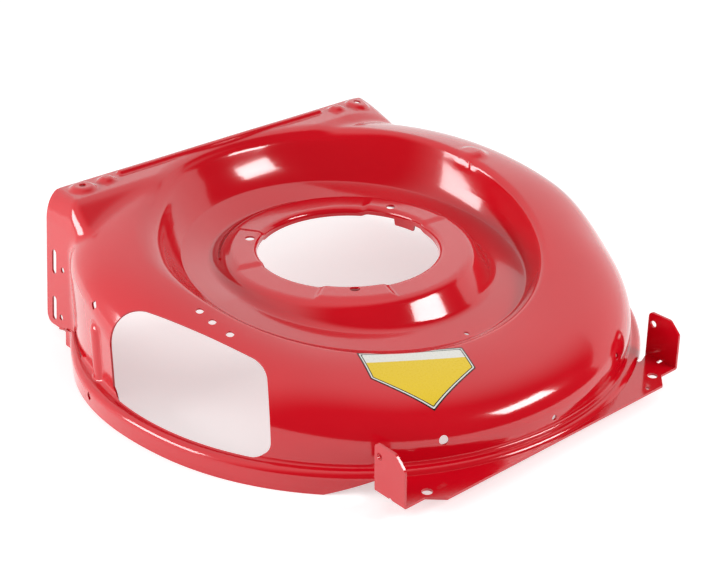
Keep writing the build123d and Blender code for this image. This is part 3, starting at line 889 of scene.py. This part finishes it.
def add_stage():
    """Floor that sweeps up beyond the deck: flat, then a quarter round, then upright."""
    right, _, back = view_axes()
    away = -np.array([back[0], back[1], 0]) / math.hypot(back[0], back[1])
    flat = FLOOR_NEAR + FLOOR_BEYOND
    quarter = FLOOR_BEND * math.pi / 2
    run = np.linspace(0, flat + quarter + FLOOR_WALL, 60)
    turn = np.clip(run - flat, 0, quarter) / FLOOR_BEND
    ahead = np.minimum(run, flat) - FLOOR_NEAR + FLOOR_BEND * np.sin(turn)
    up = FLOOR_BEND * (1 - np.cos(turn)) + np.clip(run - flat - quarter, 0, None)
    wide = np.linspace(-FLOOR_HALF, FLOOR_HALF, 3)
    path = ahead[:, None, None] * away + up[:, None, None] * np.array([0, 0, 1])
    points = path + wide[None, :, None] * right
    points = points.reshape(-1, 3) + np.array([0, 0, GROUND_Z * MM])
    ids = np.arange(len(points)).reshape(len(run), len(wide))
    quads = np.stack([ids[:-1, :-1], ids[:-1, 1:], ids[1:, 1:], ids[1:, :-1]], -1).reshape(-1, 4)
    mesh = bpy.data.meshes.new("studio_floor")
    mesh.from_pydata(points, [], quads.tolist())
    mesh.polygons.foreach_set("use_smooth", np.ones(len(mesh.polygons), bool))
    mesh.materials.append(pale_floor())
    floor = bpy.data.objects.new("studio_floor", mesh)
    bpy.context.scene.collection.objects.link(floor)


def add_world():
    """Even surroundings for soft light; gloss sees white beyond and to the left, else dark."""
    world = bpy.data.worlds.new("studio")
    bpy.context.scene.world = world
    world.use_nodes = True
    tree = world.node_tree
    _, _, back = view_axes()
    lift = math.radians(GLOW_ELEVATION)
    away = complex(-back[0], -back[1]) / math.hypot(back[0], back[1])
    away = away * turned(math.cos(lift), GLOW_LEFT)
    aim = (away.real, away.imag, math.sin(lift))
    ray = add_node(tree, "TexCoord", output=0)
    facing = add_node(tree, "VectorMath", {"operation": "DOT_PRODUCT"}, {0: ray, 1: aim}, 1)
    low, high = GLOW_RANGE
    ramp = {"Value": facing, "From Min": low, "From Max": high, "To Min": GLOW_DARK, "To Max": 1.0}
    glow = add_node(tree, "MapRange", {"interpolation_type": "SMOOTHSTEP"}, ramp)
    camera, glossy, clear = (add_node(tree, "LightPath", output=k) for k in (0, 3, 6))
    strength = FILL_STRENGTH + camera + clear + glossy * (glow - FILL_STRENGTH)
    tree.links.new(strength.socket, tree.nodes["Background"].inputs["Strength"])
    tree.nodes["Background"].inputs["Color"].default_value = (1, 1, 1, 1)


def grid_angles(count, centres, width, boost):
    """Angles once round from the front left, closer together near the given centres."""
    fine = np.linspace(GRID_START, GRID_START + 360, 7201)
    density = np.ones_like(fine)
    for centre in centres:
        off = angle_off(fine, centre)
        density += boost * np.exp(-((off / width) ** 2))
    total = np.concatenate([[0], np.cumsum((density[1:] + density[:-1]) / 2)])
    return np.interp(np.arange(count) / count * total[-1], total, fine)


def grid_places(start, counts):
    """Section places from a run number on, with a number of steps for each run."""
    steps = [start + k + np.arange(n) / n for k, n in enumerate(counts)]
    return np.concatenate(steps + [[start + len(counts)]])


bpy.context.scene.view_settings.view_transform = "Standard"
enamel = red_enamel()

ring_points, ring_faces = cut_sheet(
    np.linspace(GRID_START, GRID_START + 360, 600, endpoint=False),
    grid_places(0, (3, 6, 14, 8, 10, 8, 8, 10, 6)),
    skin, ring_keep, True,
)
make_piece("engine_ring_and_valley", ring_points, ring_faces, enamel, "deck_shell")

angles = grid_angles(620, FEATURE_ANGLES, FEATURE_WIDTH, FEATURE_BOOST)
dome_points, dome_faces = cut_sheet(
    angles, grid_places(VALLEY_UPPER_RUN, (5, 10, 34, 22)), skin, wall_keep, True
)
make_piece("tunnel_dome", dome_points, dome_faces, enamel, "deck_shell")

rim_points, rim_faces = cut_sheet(
    angles, grid_places(RIM_RUN, (2, 6, 2, 9, 6)), skin, wall_keep, True
)
make_piece("rolled_rim", rim_points, rim_faces, enamel, "deck_shell")

fold_end = REAR_Y - REAR_FOLD + REAR_FOLD * math.pi / 2
shelf_points, shelf_faces = cut_sheet(
    np.linspace(-SHELF_SEAM_X - SHELF_LAP, SHELF_SEAM_X + SHELF_LAP, 340),
    np.concatenate([
        np.linspace(SHELF_SEAM_Y - SHELF_LAP, REAR_Y - REAR_FOLD, 34),
        np.linspace(REAR_Y - REAR_FOLD, fold_end, 7)[1:],
        np.linspace(fold_end, fold_end + REAR_LIP - REAR_FOLD, 5)[1:],
    ]),
    shelf_skin, shelf_keep, False,
)
make_piece("rear_shelf", shelf_points, [face[::-1] for face in shelf_faces], enamel, "deck_shell")

film_points, film_faces = cut_sheet(
    np.linspace(*FILM_ANGLES, 150), np.linspace(*FILM_PLACES, 90), skin, film_keep, False
)
film_inside, film_top = film_edge(film_points)
make_piece("blank_label", film_points, film_faces, label_film(), None, -FILM_SHEET,
           {"edge": film_inside, "band": film_top})

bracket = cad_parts["front_bracket"]
bracket.data.materials.clear()
bracket.data.materials.append(enamel)

add_camera()
add_stage()
add_world()
for lamp_name, lamp in SOFTBOXES.items():
    add_softbox(lamp_name, *lamp)
